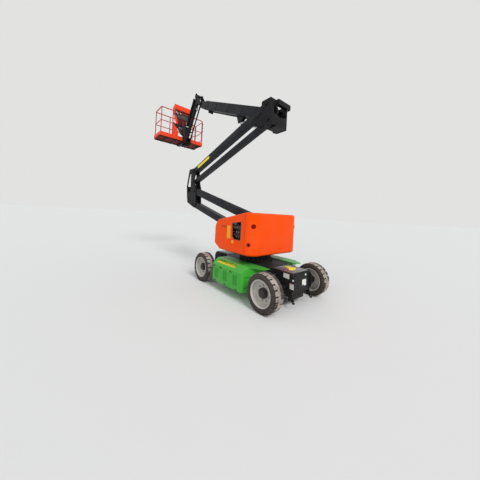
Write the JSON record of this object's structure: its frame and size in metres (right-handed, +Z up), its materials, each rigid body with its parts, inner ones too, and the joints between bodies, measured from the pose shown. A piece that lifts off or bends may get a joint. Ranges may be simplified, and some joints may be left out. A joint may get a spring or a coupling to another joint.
{
  "type": "articulating boom lift",
  "caption": "Self-propelled articulating boom lift with a slewing turret, a double parallelogram riser, a telescopic boom, a jib and a railed work platform.",
  "frame": {"origin": "on the ground below the middle of the machine's whole length, on its centre plane", "axes": "+X forward from the counterweight to the platform, +Y to the machine's left, +Z up"},
  "size_m": [6.823, 1.8509, 6.177],
  "materials": {
    "tyre": "dusty black solid rubber",
    "rim_paint": "silver paint, satin",
    "black_steel": "black paint, satin",
    "boom_paint": "charcoal black paint, satin",
    "green_paint": "green paint, gloss",
    "orange_paint": "orange paint, gloss",
    "weight_iron": "orange paint on cast iron",
    "platform_paint": "orange-red paint, satin",
    "rail_paint": "orange-red paint, weathered",
    "battery_case": "black battery cases",
    "machinery": "black machinery and tank",
    "rod_chrome": "polished chrome",
    "raw_steel": "machined steel"
  },
  "bodies": {
    "chassis": {"chassis_frame": "black_steel", "side_pod_left": "green_paint", "side_pod_right": "green_paint", "battery_packs": "battery_case", "rear_axle": "black_steel", "front_axle": "black_steel", "slew_ring": "raw_steel"},
    "knuckle_left": {"knuckle_left": "black_steel"},
    "knuckle_right": {"knuckle_right": "black_steel"},
    "tie_rod": {"tie_rod": "raw_steel"},
    "wheel_front_left": {"tyre_front_left": "tyre", "rim_front_left": "rim_paint", "hub_front_left": "black_steel"},
    "wheel_front_right": {"tyre_front_right": "tyre", "rim_front_right": "rim_paint", "hub_front_right": "black_steel"},
    "wheel_rear_left": {"tyre_rear_left": "tyre", "rim_rear_left": "rim_paint", "hub_rear_left": "black_steel"},
    "wheel_rear_right": {"tyre_rear_right": "tyre", "rim_rear_right": "rim_paint", "hub_rear_right": "black_steel"},
    "turret": {"turntable_frame": "black_steel", "counterweight": "weight_iron", "power_unit": "machinery"},
    "cover_left": {"cover_left": "orange_paint"},
    "cover_right": {"cover_right": "orange_paint"},
    "lower_riser_arm": {"lower_riser_arm": "boom_paint"},
    "lower_riser_link": {"lower_riser_link": "boom_paint"},
    "mid_link": {"mid_link": "black_steel"},
    "upper_riser_arm": {"upper_riser_arm": "boom_paint"},
    "upper_riser_link": {"upper_riser_link": "boom_paint"},
    "top_upright": {"top_upright": "black_steel"},
    "riser_cylinder_barrel": {"riser_cylinder_barrel": "black_steel"},
    "riser_cylinder_rod": {"riser_cylinder_rod": "rod_chrome"},
    "boom_outer": {"boom_outer": "boom_paint"},
    "boom_inner": {"boom_inner": "boom_paint"},
    "boom_cylinder_barrel": {"boom_cylinder_barrel": "black_steel"},
    "boom_cylinder_rod": {"boom_cylinder_rod": "rod_chrome"},
    "jib_base": {"jib_base": "black_steel"},
    "jib_arm": {"jib_arm": "boom_paint"},
    "jib_link": {"jib_link": "boom_paint"},
    "jib_head": {"jib_head": "black_steel"},
    "jib_cylinder_barrel": {"jib_cylinder_barrel": "black_steel"},
    "jib_cylinder_rod": {"jib_cylinder_rod": "rod_chrome"},
    "platform": {"platform_bracket": "black_steel", "platform_floor": "platform_paint", "platform_rails": "rail_paint", "control_console": "platform_paint", "console_box": "black_steel"},
    "platform_gate": {"platform_gate": "rail_paint"}
  },
  "joints": [
    {"name": "slew", "type": "hinge", "parent": "chassis", "child": "turret", "pos_m": [-2.00652, 0, 0.845], "axis": [0, 0, 1], "range_deg": [-177.5, 177.5]},
    {"name": "steer_left", "type": "hinge", "parent": "chassis", "child": "knuckle_left", "pos_m": [-0.95652, 0.6, 0.355], "axis": [0, 0, 1], "range_deg": [-35, 35]},
    {"name": "steer_right", "type": "hinge", "parent": "chassis", "child": "knuckle_right", "pos_m": [-0.95652, -0.6, 0.355], "axis": [0, 0, 1], "range_deg": [-35.5, 35.5]},
    {"name": "tie_rod_swing", "type": "hinge", "parent": "knuckle_left", "child": "tie_rod", "pos_m": [-1.12652, 0.6, 0.24], "axis": [0, 0, 1], "range_deg": [-35.5, 35.5]},
    {"name": "roll_front_left", "type": "hinge", "parent": "knuckle_left", "child": "wheel_front_left", "pos_m": [-0.95652, 0.79, 0.355], "axis": [0, 1, 0], "continuous": true},
    {"name": "roll_front_right", "type": "hinge", "parent": "knuckle_right", "child": "wheel_front_right", "pos_m": [-0.95652, -0.79, 0.355], "axis": [0, 1, 0], "continuous": true},
    {"name": "roll_rear_left", "type": "hinge", "parent": "chassis", "child": "wheel_rear_left", "pos_m": [-3.05652, 0.79, 0.355], "axis": [0, 1, 0], "continuous": true},
    {"name": "roll_rear_right", "type": "hinge", "parent": "chassis", "child": "wheel_rear_right", "pos_m": [-3.05652, -0.79, 0.355], "axis": [0, 1, 0], "continuous": true},
    {"name": "cover_left_door", "type": "hinge", "parent": "turret", "child": "cover_left", "pos_m": [-1.26852, 0.332, 1.1], "axis": [0, 0, -1], "range_deg": [0, 75]},
    {"name": "cover_right_door", "type": "hinge", "parent": "turret", "child": "cover_right", "pos_m": [-1.26852, -0.332, 1.1], "axis": [0, 0, 1], "range_deg": [0, 75]},
    {"name": "riser", "type": "hinge", "parent": "turret", "child": "lower_riser_arm", "pos_m": [-2.27652, 0.1735, 1.585], "axis": [0, -1, 0], "range_deg": [-15.4, 50]},
    {"name": "lower_link_turn", "type": "hinge", "parent": "turret", "child": "lower_riser_link", "pos_m": [-2.19652, 0.1735, 1.162], "axis": [0, -1, 0], "range_deg": [-15.9, 50.5]},
    {"name": "mid_link_level", "type": "hinge", "parent": "lower_riser_arm", "child": "mid_link", "pos_m": [0.84348, 0.1735, 2.444], "axis": [0, -1, 0], "range_deg": [-50.5, 15.9]},
    {"name": "upper_arm_turn", "type": "hinge", "parent": "mid_link", "child": "upper_riser_arm", "pos_m": [1.01348, 0.1735, 3.139], "axis": [0, 1, 0], "range_deg": [-18, 57.32]},
    {"name": "upper_link_turn", "type": "hinge", "parent": "mid_link", "child": "upper_riser_link", "pos_m": [0.95348, 0.1735, 2.77], "axis": [0, 1, 0], "range_deg": [-18, 57.32]},
    {"name": "upright_level", "type": "hinge", "parent": "upper_riser_arm", "child": "top_upright", "pos_m": [-2.35652, 0.1735, 4.202], "axis": [0, 1, 0], "range_deg": [-57.32, 18]},
    {"name": "boom_lift", "type": "hinge", "parent": "top_upright", "child": "boom_outer", "pos_m": [-2.30652, -0.076, 4.072], "axis": [0, -1, 0], "range_deg": [-24.2, 48]},
    {"name": "telescope", "type": "slide", "parent": "boom_outer", "child": "boom_inner", "axis": [0.9121, 0, 0.4099], "range_m": [0, 2.3]},
    {"name": "jib_base_level", "type": "hinge", "parent": "boom_inner", "child": "jib_base", "pos_m": [1.21152, -0.076, 5.65504], "axis": [0, -1, 0], "range_deg": [-57.5, 33.7]},
    {"name": "jib_lift", "type": "hinge", "parent": "jib_base", "child": "jib_arm", "pos_m": [1.56352, -0.076, 6.12004], "axis": [0, -1, 0], "range_deg": [-11.5, 88]},
    {"name": "jib_link_turn", "type": "hinge", "parent": "jib_base", "child": "jib_link", "pos_m": [1.50352, -0.076, 5.94004], "axis": [0, -1, 0], "range_deg": [-12, 88.5]},
    {"name": "jib_head_level", "type": "hinge", "parent": "jib_arm", "child": "jib_head", "pos_m": [2.41352, -0.076, 4.74004], "axis": [0, -1, 0], "range_deg": [-88.5, 12]},
    {"name": "platform_turn", "type": "hinge", "parent": "jib_head", "child": "platform", "pos_m": [2.52352, -0.076, 4.50004], "axis": [0, 0, 1], "range_deg": [-80, 80]},
    {"name": "gate_swing", "type": "hinge", "parent": "platform", "child": "platform_gate", "pos_m": [3.33552, -0.906, 5.29004], "axis": [0, 0, -1], "range_deg": [0, 90]},
    {"name": "riser_cylinder_swing", "type": "hinge", "parent": "mid_link", "child": "riser_cylinder_barrel", "pos_m": [1.22348, 0.1735, 2.2], "axis": [0, -1, 0], "range_deg": [-1.38, 3.34]},
    {"name": "riser_rod_slide", "type": "slide", "parent": "riser_cylinder_barrel", "child": "riser_cylinder_rod", "axis": [-0.0103, 0, 0.9999], "range_m": [-0.18977, 0.05983]},
    {"name": "boom_cylinder_swing", "type": "hinge", "parent": "top_upright", "child": "boom_cylinder_barrel", "pos_m": [-2.15652, -0.076, 3.85], "axis": [0, -1, 0], "range_deg": [-33.46, 57.02]},
    {"name": "boom_rod_slide", "type": "slide", "parent": "boom_cylinder_barrel", "child": "boom_cylinder_rod", "axis": [0.9179, 0, 0.3969], "range_m": [-0.14256, 0.24146]},
    {"name": "jib_cylinder_swing", "type": "hinge", "parent": "jib_base", "child": "jib_cylinder_barrel", "pos_m": [1.50452, -0.076, 6.00404], "axis": [0, -1, 0], "range_deg": [-11.77, 86.74]},
    {"name": "jib_rod_slide", "type": "slide", "parent": "jib_cylinder_barrel", "child": "jib_cylinder_rod", "axis": [0.5229, 0, -0.8524], "range_m": [-0.02632, 0.1881]}
  ],
  "couplings": [
    {"joint": "steer_right", "follows": "steer_left", "ratio": 1},
    {"joint": "tie_rod_swing", "follows": "steer_left", "ratio": -1},
    {"joint": "lower_link_turn", "follows": "riser", "ratio": 1},
    {"joint": "mid_link_level", "follows": "riser", "ratio": -1},
    {"joint": "upper_arm_turn", "follows": "riser", "ratio": 1.1364},
    {"joint": "upper_link_turn", "follows": "riser", "ratio": 1.1364},
    {"joint": "upright_level", "follows": "riser", "ratio": -1.1364},
    {"joint": "jib_base_level", "follows": "boom_lift", "ratio": -1},
    {"joint": "jib_link_turn", "follows": "jib_lift", "ratio": 1},
    {"joint": "jib_head_level", "follows": "jib_lift", "ratio": -1},
    {"joint": "riser_cylinder_swing", "follows": "riser", "ratio": 0.056818},
    {"joint": "riser_rod_slide", "follows": "riser", "m_per_rad": -0.21517},
    {"joint": "boom_cylinder_swing", "follows": "boom_lift", "ratio": 0.99},
    {"joint": "boom_rod_slide", "follows": "boom_lift", "m_per_rad": 0.23809},
    {"joint": "jib_cylinder_swing", "follows": "jib_lift", "ratio": 0.98},
    {"joint": "jib_rod_slide", "follows": "jib_lift", "m_per_rad": 0.12117}
  ]
}
